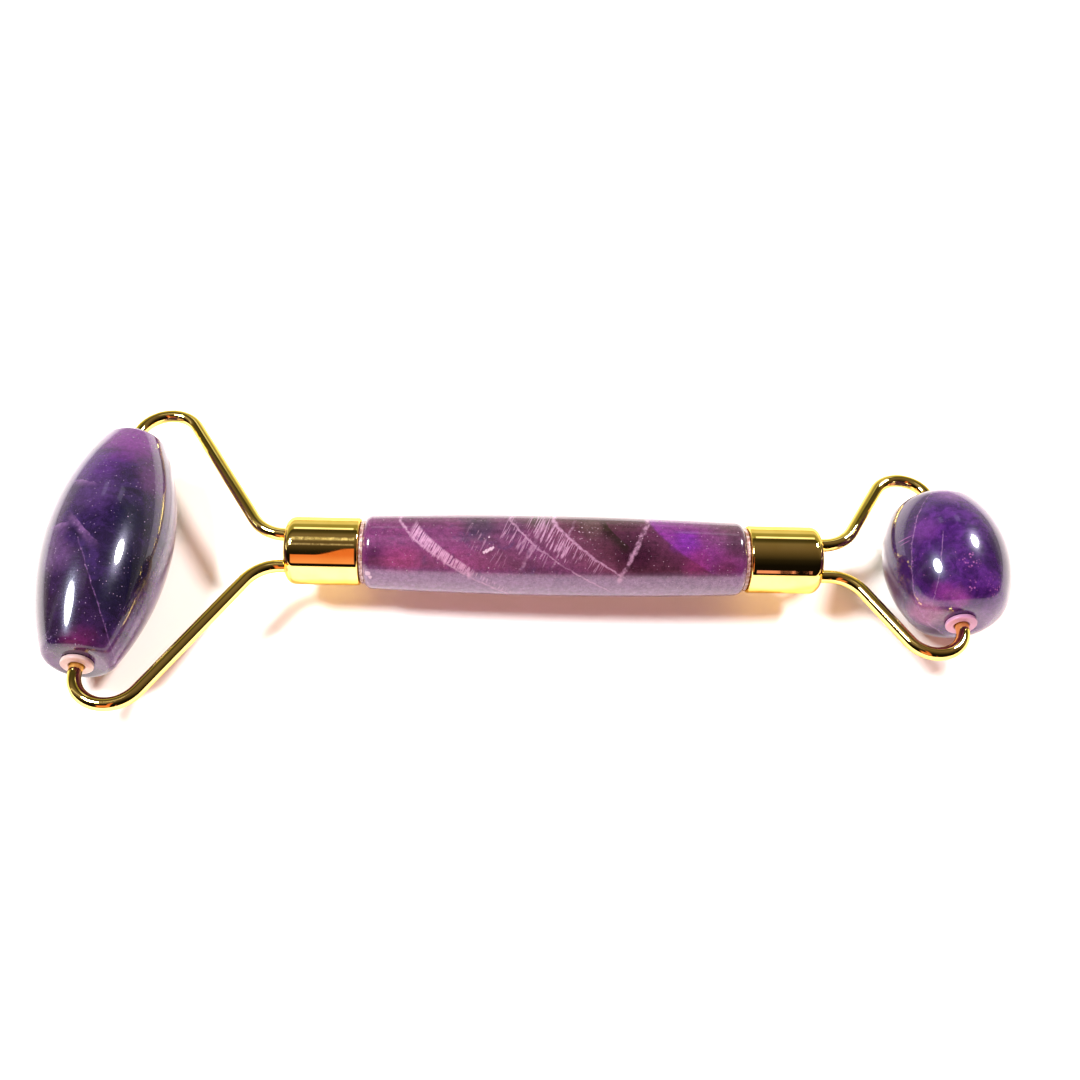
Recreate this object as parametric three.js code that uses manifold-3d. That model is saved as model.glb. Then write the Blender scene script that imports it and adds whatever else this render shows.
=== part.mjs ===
// Double-ended stone face roller: a long and a short barrel-shaped stone, each spinning on the two
// wire arms of a fork, with a stone handle between the forks. It lies on its two rollers.
//
// Frame: millimetres. +X runs along the handle towards the short roller, +Y along the roller axes
// towards the back arms, +Z up. The origin is on the ground, halfway between the two roller axes.

import * as THREE from 'three';
import { mergeVertices } from 'three/addons/utils/BufferGeometryUtils.js';
import Module from 'manifold-3d';

const wasm = await Module();
wasm.setup();

// ---- Driving dimensions -----------------------------------------------------------------------

const rollerRadius = 9.5;
const axleSpacing = 129.6;
const handleCentreX = 3.5;
const restBandHalfWidth = 2;

const largeRoller = {
  name: 'large',
  axleX: -axleSpacing / 2,
  halfLength: 20.5,
  faceRadius: 3.9,
  cornerRadius: 1.6,
};
const smallRoller = {
  name: 'small',
  axleX: axleSpacing / 2,
  halfLength: 10.9,
  faceRadius: 3.3,
  cornerRadius: 4.7,
};

const handle = {
  halfLength: 29.25,
  middleRadius: 6.28,
  endRadius: 5.72,
  cornerRadius: 1.4,
  pegHoleRadius: 2.0,
  pegHoleDepth: 10.4,
};
const ferrule = {
  rimX: 29.78,
  faceX: 41.07,
  radius: 5.2,
  faceCornerRadius: 1.5,
  rimCornerRadius: 0.35,
  cupRadius: 4.3,
  cupDepth: 5.4,
};
const peg = { radius: 1.6, ridgeDepth: 0.25, ridgePitch: 1.25, gripInFerrule: 2.6, gripInStone: 9.6 };
const glue = { sideGap: 0.25, rimGap: 0.15, beadRadius: 4.95 };

const wire = {
  radius: 1.0,
  offset: 3.0,
  flareRadius: 6.0,
  tailLength: 5.4,
  pinGrip: 4.6,
  stepLength: 1.25,
};
const largeTurn = { leadLength: 0.7, radius: 5.05, standOff: 1.7 };
const smallTurn = { leadLength: 1.25, radius: 4.6, standOff: 1.15 };

const bush = {
  flangeRadius: 2.35,
  flangeThickness: 0.6,
  hubRadius: 1.6,
  hubHeight: 0.25,
  sleeveRadius: 1.75,
  sleeveLength: 5.2,
  boreRadius: 1.15,
  seatGap: 0.1,
};
const stoneBoreRadius = 1.95;

const stoneSides = 32;
const metalSides = 24;
const pegSides = 12;
const wireSides = 10;
const bushSides = 16;
const fitGap = 0.3;

const axleHeight = rollerRadius;

// ---- Materials --------------------------------------------------------------------------------

function material(colour, roughness, metalness) {
  return new THREE.MeshStandardMaterial({ color: colour, roughness, metalness });
}

const deepAmethyst = () => material(0x2f1450, 0.12, 0);
const brightAmethyst = () => material(0x5b2a80, 0.12, 0);
const plumAmethyst = () => material(0x6a2c66, 0.15, 0);
const polishedGold = () => material(0xc99a3a, 0.12, 1);
const plainSteel = () => material(0x9a9a9a, 0.35, 1);
const palePlastic = () => material(0xe6d3da, 0.4, 0);
const clearGlue = () => material(0xd9c3c6, 0.35, 0);

// ---- Shape helpers ----------------------------------------------------------------------------

// The corner radius of a polygon whose flats lie on a circle of the given radius.
function aroundCircle(radius, sides) {
  return radius / Math.cos(Math.PI / sides);
}

// Points along an arc, centre (radius r, height y), angles measured from the outward direction
// towards +Y. The first and last points are both included.
function arcPoints(centreR, centreY, radius, startAngle, endAngle, segments) {
  const points = [];
  for (let i = 0; i <= segments; i += 1) {
    const angle = startAngle + ((endAngle - startAngle) * i) / segments;
    points.push([centreR + radius * Math.cos(angle), centreY + radius * Math.sin(angle)]);
  }
  return points;
}

// A solid turned about +Y from [radius, y] points. Half a step of turn puts the middle of a flat,
// not a corner, on -Z and on the other row axes. grow scales radii so that flats meet the circle.
function turned(points, sides, grow = 1) {
  const profile = points.map(([r, y]) => new THREE.Vector2(r * grow, y));
  return new THREE.LatheGeometry(profile, sides, Math.PI / sides, 2 * Math.PI);
}

function turnedAroundCircle(points, sides) {
  return turned(points, sides, aroundCircle(1, sides));
}

function toManifold(geometry) {
  const bare = geometry.clone();
  bare.deleteAttribute('normal');
  bare.deleteAttribute('uv');
  const merged = mergeVertices(bare, 1e-5);
  return new wasm.Manifold(new wasm.Mesh({
    numProp: 3,
    vertProperties: new Float32Array(merged.attributes.position.array),
    triVerts: new Uint32Array(merged.index.array),
  }));
}

function fromManifold(solid) {
  const mesh = solid.getMesh();
  const geometry = new THREE.BufferGeometry();
  geometry.setAttribute('position', new THREE.BufferAttribute(mesh.vertProperties, 3));
  geometry.setIndex(new THREE.BufferAttribute(mesh.triVerts, 1));
  geometry.computeVertexNormals();
  return geometry;
}

function piece(name, geometry, surface) {
  const mesh = new THREE.Mesh(geometry, surface);
  mesh.name = name;
  return mesh;
}

// ---- Rollers ----------------------------------------------------------------------------------

// A barrel: a straight middle band to rest on, a long crown arc, and corner arcs that run into
// small flat end faces. The crown and corner arcs meet without a kink. A bore goes right through.
function barrelStone(roller) {
  const { halfLength, faceRadius, cornerRadius } = roller;
  const cornerY = halfLength - cornerRadius;
  const drop = rollerRadius - faceRadius;
  const along = cornerY - restBandHalfWidth;
  const crownRadius = (along ** 2 + drop ** 2 - cornerRadius ** 2) / (2 * (drop - cornerRadius));
  const crownR = rollerRadius - crownRadius;
  const meetAngle = Math.atan2(along, faceRadius - crownR);

  const crown = arcPoints(crownR, restBandHalfWidth, crownRadius, 0, meetAngle, 7);
  const corner = arcPoints(faceRadius, cornerY, cornerRadius, meetAngle, Math.PI / 2, 4);
  const topHalf = [...crown, ...corner.slice(1), [stoneBoreRadius, halfLength]];
  const bottomHalf = topHalf.map(([r, y]) => [r, -y]).reverse();
  const outline = [...bottomHalf, ...topHalf];
  return turnedAroundCircle([...outline, outline[0]], stoneSides);
}

// A flanged bush, pressed into the bore from the +Y end, with y = 0 on the stone's end face.
function bushGeometry() {
  const under = bush.seatGap;
  const flangeTop = under + bush.flangeThickness;
  const chamfer = 0.2;
  const outline = [
    [bush.boreRadius, -bush.sleeveLength],
    [bush.sleeveRadius, -bush.sleeveLength],
    [bush.sleeveRadius, under],
    [bush.flangeRadius, under],
    [bush.flangeRadius, flangeTop - chamfer],
    [bush.flangeRadius - chamfer, flangeTop],
    [bush.hubRadius, flangeTop],
    [bush.hubRadius, flangeTop + bush.hubHeight],
    [bush.boreRadius, flangeTop + bush.hubHeight],
  ];
  return turned([...outline, outline[0]], bushSides);
}

function rollerGroup(roller, stoneMaterial) {
  const group = new THREE.Group();
  group.position.set(roller.axleX, 0, axleHeight);
  group.add(piece(`${roller.name}_roller_stone`, barrelStone(roller), stoneMaterial));

  const back = piece(`${roller.name}_bush_back`, bushGeometry(), palePlastic());
  back.position.y = roller.halfLength;
  const front = piece(`${roller.name}_bush_front`, bushGeometry(), palePlastic());
  front.position.y = -roller.halfLength;
  front.rotation.x = Math.PI;
  group.add(back, front);
  return group;
}

// ---- Wire arms --------------------------------------------------------------------------------

// Two kinds of stretch that an arm's centreline is made of. Each has a length and gives the point
// at a distance along it. A heading is the angle of travel from +X, and a positive turn is
// anticlockwise.
function straight([x, y], heading, length) {
  const at = (s) => [x + s * Math.cos(heading), y + s * Math.sin(heading)];
  return { length, at };
}

function bend([cx, cy], radius, startHeading, turn) {
  const way = Math.sign(turn);
  const at = (s) => {
    const heading = startHeading + (way * s) / radius;
    return [cx + way * radius * Math.sin(heading), cy - way * radius * Math.cos(heading)];
  };
  return { length: radius * Math.abs(turn), at };
}

// The centreline of one arm, in the fork's own plane: out of the ferrule, flared away from the
// handle's axis, straight to the far side of the roller, and round the turn to its pin.
class ArmCentreline extends THREE.Curve {
  constructor(roller, turn, side) {
    super();
    this.side = side;
    const reach = Math.abs(roller.axleX - handleCentreX);
    const flareX = ferrule.faceX + turn.leadLength;
    const flareCentre = [flareX, wire.offset + wire.flareRadius];
    const turnCentre = [reach - turn.radius, roller.halfLength + turn.standOff];

    // The straight run touches both bends, which curve opposite ways.
    const dx = turnCentre[0] - flareCentre[0];
    const dy = turnCentre[1] - flareCentre[1];
    const between = Math.hypot(dx, dy);
    const radii = wire.flareRadius + turn.radius;
    const heading = Math.atan2(dy, dx) + Math.asin(radii / between);
    const run = Math.sqrt(between ** 2 - radii ** 2);

    const tailStart = ferrule.faceX - wire.tailLength;
    const tail = straight([tailStart, wire.offset], 0, flareX - tailStart);
    const flare = bend(flareCentre, wire.flareRadius, 0, heading);
    const middle = straight(flare.at(flare.length), heading, run);
    const hook = bend(turnCentre, turn.radius, heading, -(heading + Math.PI / 2));
    const pinLength = turn.standOff + wire.pinGrip;
    const pin = straight(hook.at(hook.length), -Math.PI / 2, pinLength);
    this.stretches = [tail, flare, middle, hook, pin];
    this.total = this.stretches.reduce((sum, stretch) => sum + stretch.length, 0);
  }

  getPoint(t) {
    let s = t * this.total;
    let index = 0;
    while (index < this.stretches.length - 1 && s > this.stretches[index].length) {
      s -= this.stretches[index].length;
      index += 1;
    }
    const [x, y] = this.stretches[index].at(s);
    return new THREE.Vector3(x, this.side * y, 0);
  }
}

function armGeometry(roller, turn, side) {
  const corners = [];
  for (let i = 0; i < wireSides; i += 1) {
    const angle = (2 * Math.PI * (i + 0.5)) / wireSides;
    corners.push(new THREE.Vector2(wire.radius * Math.cos(angle), wire.radius * Math.sin(angle)));
  }
  const centreline = new ArmCentreline(roller, turn, side);
  return new THREE.ExtrudeGeometry(new THREE.Shape(corners), {
    steps: Math.round(centreline.total / wire.stepLength),
    extrudePath: centreline,
    bevelEnabled: false,
  });
}

// ---- Handle and its fittings ------------------------------------------------------------------

// A slightly swollen stone rod with rounded ends and a blind hole in each for the peg.
function handleStone() {
  const { halfLength, middleRadius, endRadius, cornerRadius, pegHoleRadius, pegHoleDepth } = handle;
  const cornerY = halfLength - cornerRadius;
  const swell = middleRadius - endRadius;
  const crownRadius = (cornerY ** 2 + swell ** 2) / (2 * swell);
  const crownR = middleRadius - crownRadius;
  const endAngle = Math.asin(cornerY / crownRadius);

  const half = [
    ...arcPoints(crownR, 0, crownRadius, 0, endAngle, 5),
    ...arcPoints(endRadius - cornerRadius, cornerY, cornerRadius, 0, Math.PI / 2, 4).slice(1),
    [pegHoleRadius, halfLength],
    [pegHoleRadius, halfLength - pegHoleDepth],
    [0, halfLength - pegHoleDepth],
  ];
  const otherHalf = half.slice(1).map(([r, y]) => [r, -y]).reverse();
  return turnedAroundCircle([...otherHalf, ...half], metalSides);
}

// A turned cap, closed at its outer face and cupped towards the stone. The closed end is drilled
// for the two wires and, from inside, for the peg.
function ferruleGeometry() {
  const { rimX, faceX, radius, faceCornerRadius, rimCornerRadius, cupRadius, cupDepth } = ferrule;
  const cupFloor = rimX + cupDepth;
  const body = toManifold(turned([
    [0, cupFloor],
    [cupRadius, cupFloor],
    [cupRadius, rimX],
    [radius - rimCornerRadius, rimX],
    [radius, rimX + rimCornerRadius],
    ...arcPoints(
      radius - faceCornerRadius, faceX - faceCornerRadius, faceCornerRadius, 0, Math.PI / 2, 4,
    ),
    [0, faceX],
  ], metalSides));

  // Each drill is [radius, from, to, distance from the axis along X]. It is turned about +Y like
  // the body, whose local X lies along the row's Y once the cap is in place.
  const drills = [
    [wire.radius + fitGap / 2, cupFloor - 1, faceX + 1, wire.offset],
    [wire.radius + fitGap / 2, cupFloor - 1, faceX + 1, -wire.offset],
    [peg.radius + fitGap, cupFloor - 1, cupFloor + peg.gripInFerrule + fitGap, 0],
  ];
  let drilled = body;
  for (const [drillRadius, from, to, offset] of drills) {
    const drill = turned([[0, from], [drillRadius, from], [drillRadius, to], [0, to]], pegSides);
    drill.translate(offset, 0, 0);
    drilled = drilled.subtract(toManifold(drill));
  }
  return fromManifold(drilled);
}

// A ridged steel peg, half in the ferrule's closed end and half in the stone's blind hole.
function pegGeometry() {
  const start = handle.halfLength - peg.gripInStone;
  const end = ferrule.rimX + ferrule.cupDepth + peg.gripInFerrule;
  const rootRadius = peg.radius - peg.ridgeDepth;
  const ridgeCount = Math.floor((end - start) / peg.ridgePitch);
  const pitch = (end - start) / ridgeCount;
  const points = [[0, start], [rootRadius, start]];
  for (let i = 0; i < ridgeCount; i += 1) {
    points.push([peg.radius, start + (i + 0.5) * pitch]);
    points.push([rootRadius, start + (i + 1) * pitch]);
  }
  points.push([0, end]);
  return turned(points, pegSides);
}

// Cured glue: a plug in the ferrule's cup around the peg, and the bead squeezed out at the rim.
function glueGeometry() {
  const inner = peg.radius + glue.sideGap;
  const outer = ferrule.cupRadius - glue.sideGap;
  const stoneSide = handle.halfLength + glue.rimGap;
  const rimSide = ferrule.rimX - glue.rimGap;
  const cupSide = ferrule.rimX + ferrule.cupDepth - glue.sideGap;
  const outline = [
    [inner, stoneSide],
    [glue.beadRadius, stoneSide],
    [glue.beadRadius, rimSide],
    [outer, rimSide],
    [outer, cupSide],
    [inner, cupSide],
  ];
  return turned([...outline, outline[0]], metalSides);
}

// Everything at one end of the handle, built with +X pointing away from the handle's middle.
// The large end is the same group turned half round, so its +Y arm is the one at the front.
function forkGroup(roller, turn, halfTurns) {
  const group = new THREE.Group();
  group.rotation.z = halfTurns * Math.PI;

  const fittings = new THREE.Group();
  fittings.rotation.z = -Math.PI / 2;
  fittings.add(piece(`${roller.name}_ferrule`, ferruleGeometry(), polishedGold()));
  fittings.add(piece(`${roller.name}_peg`, pegGeometry(), plainSteel()));
  fittings.add(piece(`${roller.name}_glue`, glueGeometry(), clearGlue()));
  group.add(fittings);

  const backSide = halfTurns === 0 ? 1 : -1;
  for (const [place, side] of [['back', backSide], ['front', -backSide]]) {
    group.add(piece(`${roller.name}_arm_${place}`, armGeometry(roller, turn, side), polishedGold()));
  }
  return group;
}

function handleGroup() {
  const group = new THREE.Group();
  group.position.set(handleCentreX, 0, axleHeight);
  const stone = piece('handle_stone', handleStone(), plumAmethyst());
  stone.rotation.z = -Math.PI / 2;
  group.add(stone);
  group.add(forkGroup(largeRoller, largeTurn, 1));
  group.add(forkGroup(smallRoller, smallTurn, 0));
  return group;
}

// ---- Assembly ---------------------------------------------------------------------------------

const group = new THREE.Group();
group.add(handleGroup());
group.add(rollerGroup(largeRoller, deepAmethyst()));
group.add(rollerGroup(smallRoller, brightAmethyst()));

export default group;
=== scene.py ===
"""The looks of a double-ended amethyst face roller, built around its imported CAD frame.

Every stone, cap, wire, bush and glue bead is turned or swept again here at full smoothness, in the
place of its CAD node. Sizes below are millimetres, as in the CAD source, and the mesh makers turn
them into metres. X runs along the handle, Y along the roller axles, Z up.
"""

import math

import bmesh
import bpy
from mathutils import Matrix, Vector, noise


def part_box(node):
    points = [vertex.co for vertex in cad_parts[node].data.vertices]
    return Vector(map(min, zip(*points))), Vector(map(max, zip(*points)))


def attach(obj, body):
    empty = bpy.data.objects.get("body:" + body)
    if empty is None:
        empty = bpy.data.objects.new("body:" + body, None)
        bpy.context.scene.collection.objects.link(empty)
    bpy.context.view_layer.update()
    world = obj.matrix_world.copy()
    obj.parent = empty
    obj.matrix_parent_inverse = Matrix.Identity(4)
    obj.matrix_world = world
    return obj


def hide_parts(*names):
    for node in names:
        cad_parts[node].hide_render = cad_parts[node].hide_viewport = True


MM = 0.001

# ---- Dimensions, in millimetres ------------------------------------------------------------------

ROLLER_RADIUS = 9.5
BORE_RADIUS = 1.95
BORE_EDGE = 0.12
# Half length, flat face's radius and corner radius of each stone. Then its arms: the straight lead
# out of the cap, the hook's radius, and how far the hook's centre stands off the stone's end.
ROLLERS = {
    "large": {"half": 20.5, "face": 3.9, "corner": 1.6,
              "lead": 0.7, "turn": 5.05, "stand_off": 1.7},
    "small": {"half": 10.9, "face": 3.3, "corner": 4.7,
              "lead": 1.25, "turn": 4.6, "stand_off": 1.15},
}
HANDLE = {"half": 29.25, "middle": 6.28, "end": 5.72, "corner": 1.4,
          "hole": 2.0, "hole_depth": 10.4}
# The rim's and the closed face's distances from the handle's middle, then the cap's own sizes.
CAP = {"rim": 29.78, "face": 41.07, "radius": 5.2, "face_corner": 1.5, "rim_corner": 0.35,
       "cup": 4.3, "cup_depth": 5.4, "cup_edge": 0.1, "peg_hole": 1.9, "peg_depth": 2.9}
PEG = {"radius": 1.6, "groove": 0.25, "pitch": 1.25, "crest": 0.24, "in_stone": 9.6,
       "in_cap": 2.6}
GLUE = {"gap": 0.06, "plug_gap": 0.25, "bead_at": 4.8, "bead_back": 0.25, "bead": 0.2}
# How far the drill runs out into the cup and past the closed face.
DRILL_PAST = (0.5, 1.0)
# The tail lies inside the cap and the grip inside the roller. The chamfer is a share of the radius.
WIRE = {"radius": 1.0, "chamfer": 0.3, "hole_gap": 0.06, "offset": 3.0, "flare": 6.0,
        "tail": 5.4, "grip": 4.6}
BUSH = {"flange": 2.35, "flange_edge": 0.05, "thickness": 0.6, "hub": 1.6, "hub_height": 0.03,
        "sleeve": 1.75, "sleeve_length": 5.2, "bore": 1.15, "bore_edge": 0.1, "seat": 0.1,
        "rim_round": 0.22, "hub_round": 0.03}
# How far the skin sinks in places, on hand-polished stone and on the glue, and how widely.
STONE_RIPPLE = {"ripple": 0.03, "ripple_size": 7.0}
GLUE_RIPPLE = {"ripple": 0.16, "ripple_size": 0.9}

# How many sides go round the large, small, hidden and wire pieces.
ROUND, SMALL_ROUND, HIDDEN_ROUND, WIRE_ROUND = 128, 64, 48, 32
# Steps along a stone's crown and its corners, and along the three stretches of an arm.
CROWN_STEPS, CORNER_STEPS = 36, 12
FLARE_STEPS, RUN_STEPS, HOOK_STEPS = 16, 12, 32
# The longest step along an outline.
LONGEST = {"roller": 0.8, "handle": 0.9, "cap": 0.5, "small": 0.6}
SHARP_ANGLE = math.radians(40)

# ---- The frame -----------------------------------------------------------------------------------

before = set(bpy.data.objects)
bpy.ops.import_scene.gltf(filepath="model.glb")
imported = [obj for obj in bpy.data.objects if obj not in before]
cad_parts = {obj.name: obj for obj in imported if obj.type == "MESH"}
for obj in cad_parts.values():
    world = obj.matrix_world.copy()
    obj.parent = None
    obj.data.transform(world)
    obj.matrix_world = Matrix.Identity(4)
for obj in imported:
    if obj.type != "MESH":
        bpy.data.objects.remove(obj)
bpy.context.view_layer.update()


def centre_of(node):
    low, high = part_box(node)
    return (low + high) / (2 * MM)


AXLE = {size: centre_of(f"{size}_roller_stone") for size in ROLLERS}
GRIP = centre_of("handle_stone")


# ---- Outlines and meshes -------------------------------------------------------------------------

def arc(radial, along, radius, start, end, steps):
    """Points on an arc as (distance from the axis, distance along it)."""
    angles = [start + (end - start) * i / steps for i in range(steps + 1)]
    return [(radial + radius * math.cos(a), along + radius * math.sin(a)) for a in angles]


def spread(points, step):
    """The same outline with long stretches cut into pieces no longer than step."""
    result = [points[0]]
    for (r0, a0), (r1, a1) in zip(points, points[1:]):
        pieces = max(1, math.ceil(math.hypot(r1 - r0, a1 - a0) / step))
        result += [(r0 + (r1 - r0) * i / pieces, a0 + (a1 - a0) * i / pieces)
                   for i in range(1, pieces + 1)]
    return result


def mirrored(half):
    """A half outline, from the middle outwards, with its mirror image before it."""
    return [(r, -a) for r, a in reversed(half)] + half


def finished(name, mesh):
    """An object with smooth shading, outward faces and real corners left sharp."""
    work = bmesh.new()
    work.from_mesh(mesh)
    bmesh.ops.remove_doubles(work, verts=work.verts, dist=1e-7)
    bmesh.ops.recalc_face_normals(work, faces=work.faces)
    work.to_mesh(mesh)
    work.free()
    mesh.shade_smooth()
    mesh.set_sharp_from_angle(angle=SHARP_ANGLE)
    made = bpy.data.objects.new(name, mesh)
    bpy.context.scene.collection.objects.link(made)
    return made


def turned(name, outline, axis, centre, sides=ROUND, ripple=0.0, ripple_size=1.0):
    """A solid turned about axis "X" or "Y" through centre. An outline that starts and ends off the
    axis is closed on itself. The skin sinks by up to ripple, in dips about ripple_size across."""
    ring = len(outline)
    closed = outline[0][0] > 1e-6
    points = []
    for i in range(sides):
        c, s = math.cos(2 * math.pi * i / sides), math.sin(2 * math.pi * i / sides)
        for radial, along in outline:
            spot = (Vector((along, radial * c, radial * s)) if axis == "X"
                    else Vector((radial * c, along, radial * s)))
            if ripple:
                dip = ripple * 0.5 * (1 + noise.noise(spot / ripple_size))
                away = Vector((0, spot.y, spot.z)) if axis == "X" else Vector((spot.x, 0, spot.z))
                spot -= away.normalized() * dip
            points.append((spot + centre) * MM)
    faces = []
    for i in range(sides):
        j = (i + 1) % sides
        for k in range(ring if closed else ring - 1):
            m = (k + 1) % ring
            faces.append((i * ring + k, i * ring + m, j * ring + m, j * ring + k))
    mesh = bpy.data.meshes.new(name)
    mesh.from_pydata(points, [], faces)
    return finished(name, mesh)


def swept(name, line, radius, height):
    """A round wire along a flat line of (x, y, heading), with its two ends chamfered."""
    chamfer = radius * WIRE["chamfer"]
    x, y, heading = line[0]
    start = (x - chamfer * math.cos(heading), y - chamfer * math.sin(heading), heading)
    x, y, heading = line[-1]
    end = (x + chamfer * math.cos(heading), y + chamfer * math.sin(heading), heading)
    stations = [(start, radius - chamfer)] + [(spot, radius) for spot in line]
    stations.append((end, radius - chamfer))
    points = []
    for (x, y, heading), r in stations:
        for i in range(WIRE_ROUND):
            a = 2 * math.pi * i / WIRE_ROUND
            out = r * math.cos(a)
            points.append(Vector((x - out * math.sin(heading), y + out * math.cos(heading),
                                  height + r * math.sin(a))) * MM)
    faces = []
    for k in range(len(stations) - 1):
        for i in range(WIRE_ROUND):
            j = (i + 1) % WIRE_ROUND
            low, high = k * WIRE_ROUND, (k + 1) * WIRE_ROUND
            faces.append((low + i, low + j, high + j, high + i))
    faces.append(tuple(range(WIRE_ROUND)))
    faces.append(tuple(range(len(points) - WIRE_ROUND, len(points))))
    mesh = bpy.data.meshes.new(name)
    mesh.from_pydata(points, [], faces)
    return finished(name, mesh)


# ---- Node helpers --------------------------------------------------------------------------------

def colour(red, green, blue):
    """A colour given as it looks on screen, 0 to 255, in the linear values that shaders use."""
    def linear(v):
        v /= 255
        return v / 12.92 if v <= 0.04045 else ((v + 0.055) / 1.055) ** 2.4
    return (linear(red), linear(green), linear(blue), 1.0)


class Graph:
    """Writes shader nodes. Each method adds one node, or a few, and returns its output."""

    def __init__(self, tree):
        self.nodes = tree.nodes
        self.links = tree.links
        self.nodes.clear()

    def feed(self, socket, value):
        if isinstance(value, bpy.types.NodeSocket):
            self.links.new(value, socket)
        else:
            socket.default_value = value

    def node(self, kind, outlet=0, settings=None, **inputs):
        made = self.nodes.new(kind)
        for key, value in (settings or {}).items():
            setattr(made, key, value)
        for key, value in inputs.items():
            self.feed(made.inputs[key.replace("_", " ")], value)
        return made.outputs[outlet] if made.outputs else None

    def math(self, operation, *values, clamp=False):
        made = self.nodes.new("ShaderNodeMath")
        made.operation = operation
        made.use_clamp = clamp
        for socket, value in zip(made.inputs, values):
            self.feed(socket, value)
        return made.outputs[0]

    def vector(self, operation, *values):
        made = self.nodes.new("ShaderNodeVectorMath")
        made.operation = operation
        for socket, value in zip(made.inputs, values):
            self.feed(socket, value)
        return made.outputs[1 if operation in ("DOT_PRODUCT", "DISTANCE", "LENGTH") else 0]

    def scale(self, vector, factor):
        return self.node("ShaderNodeVectorMath", settings={"operation": "SCALE"}, Vector=vector,
                         Scale=factor)

    def millimetres(self, centre):
        """Where the shaded point is, in millimetres from centre, in the object's own frame."""
        here = self.node("ShaderNodeTexCoord", outlet="Object")
        scaled = self.vector("MULTIPLY", here, (1 / MM,) * 3)
        return self.vector("SUBTRACT", scaled, tuple(centre))

    def noise(self, point, size, detail=2.0, roughness=0.5, distortion=0.0):
        return self.node("ShaderNodeTexNoise", Vector=point, Scale=1 / size, Detail=detail,
                         Roughness=roughness, Distortion=distortion)

    def smooth(self, value, low, high, start=0.0, end=1.0):
        """start where value is low, end where it is high, and an S-shaped change in between."""
        made = self.nodes.new("ShaderNodeMapRange")
        made.interpolation_type = "SMOOTHSTEP"
        for key, item in zip(("Value", "From Min", "From Max", "To Min", "To Max"),
                             (value, low, high, start, end)):
            self.feed(made.inputs[key], item)
        return made.outputs[0]

    def mix(self, share, first, second, blend="MIX"):
        made = self.nodes.new("ShaderNodeMix")
        made.data_type = "RGBA"
        made.blend_type = blend
        for index, value in ((0, share), (6, first), (7, second)):
            self.feed(made.inputs[index], value)
        return made.outputs[2]

    def ramp(self, value, stops, interpolation="LINEAR"):
        made = self.nodes.new("ShaderNodeValToRGB")
        band = made.color_ramp
        band.interpolation = interpolation
        while len(band.elements) > 1:
            band.elements.remove(band.elements[-1])
        band.elements[0].position, band.elements[0].color = stops[0]
        for position, shade in stops[1:]:
            band.elements.new(position).color = shade
        self.feed(made.inputs[0], value)
        return made.outputs[0]

    def bump(self, height, distance, strength=1.0):
        return self.node("ShaderNodeBump", Height=height, Distance=distance, Strength=strength)


def new_material(name):
    made = bpy.data.materials.new(name)
    made.use_nodes = True
    return made, Graph(made.node_tree)


def shade(graph, **inputs):
    """Ends a material with one Principled shader."""
    shader = graph.node("ShaderNodeBsdfPrincipled", **inputs)
    graph.node("ShaderNodeOutputMaterial", Surface=shader)


# ---- Amethyst ------------------------------------------------------------------------------------

WHITE_LIGHT = 2.1


def seen(red, green, blue):
    """The base colour that looks like this, 0 to 255, where the lamps light white WHITE_LIGHT times
    over, as they do here."""
    return tuple(v / WHITE_LIGHT for v in colour(red, green, blue)[:3]) + (1.0,)


def zone(g, point, spot, radius, wander, softness=1.0):
    """1 inside a soft-edged, uneven blob of that radius round spot, and 0 outside."""
    away = g.math("DIVIDE", g.vector("DISTANCE", point, spot), radius)
    uneven = wobbled(g, away, wander, 1.1)
    return g.smooth(uneven, 0.7 + 0.45 * softness, 0.7 - 0.45 * softness)


def beyond(g, point, normal, offset=0.0):
    """Signed distance in millimetres from the plane with that normal and offset."""
    facing = tuple(Vector(normal).normalized())
    return g.math("SUBTRACT", g.vector("DOT_PRODUCT", point, facing), offset)


def wobbled(g, distance, wobble, amount):
    """The distance with up to half of amount added or taken away, as wobble goes from 0 to 1."""
    return g.math("ADD", distance, g.math("MULTIPLY", g.math("SUBTRACT", wobble, 0.5), amount))


def seam(g, distance, width):
    """The thin trace of a crack's plane on the skin."""
    return g.smooth(g.math("ABSOLUTE", distance), width, width * 0.2)


def between(g, value, low, high, edge):
    """1 where value lies from low to high, 0 beyond, with soft edges."""
    return g.math("MULTIPLY", g.smooth(value, low - edge, low), g.smooth(value, high + edge, high))


def every(g, *parts):
    """The product of its parts, so it is bright only where they all are."""
    result = parts[0]
    for part in parts[1:]:
        result = g.math("MULTIPLY", result, part)
    return result


def any_of(g, *parts):
    """The brightest of its parts."""
    result = parts[0]
    for part in parts[1:]:
        result = g.math("MAXIMUM", result, part)
    return result


def specks(g, point, spacing, radius, share):
    """Bright inclusions under the skin: a dot of up to that radius in a share of the cells."""
    cell = g.node("ShaderNodeTexVoronoi", outlet="Distance", Vector=point, Scale=1 / spacing)
    tone = g.node("ShaderNodeTexVoronoi", outlet="Color", Vector=point, Scale=1 / spacing)
    chosen = g.smooth(g.vector("DOT_PRODUCT", tone, (1.0, 0.0, 0.0)), 1 - share, 1.02 - share)
    glow = g.smooth(g.vector("DOT_PRODUCT", tone, (0.0, 1.0, 0.0)), 0.0, 1.0, 0.25, 1.0)
    dot = g.smooth(cell, radius / spacing, 0.4 * radius / spacing)
    return every(g, dot, chosen, glow)


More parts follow.
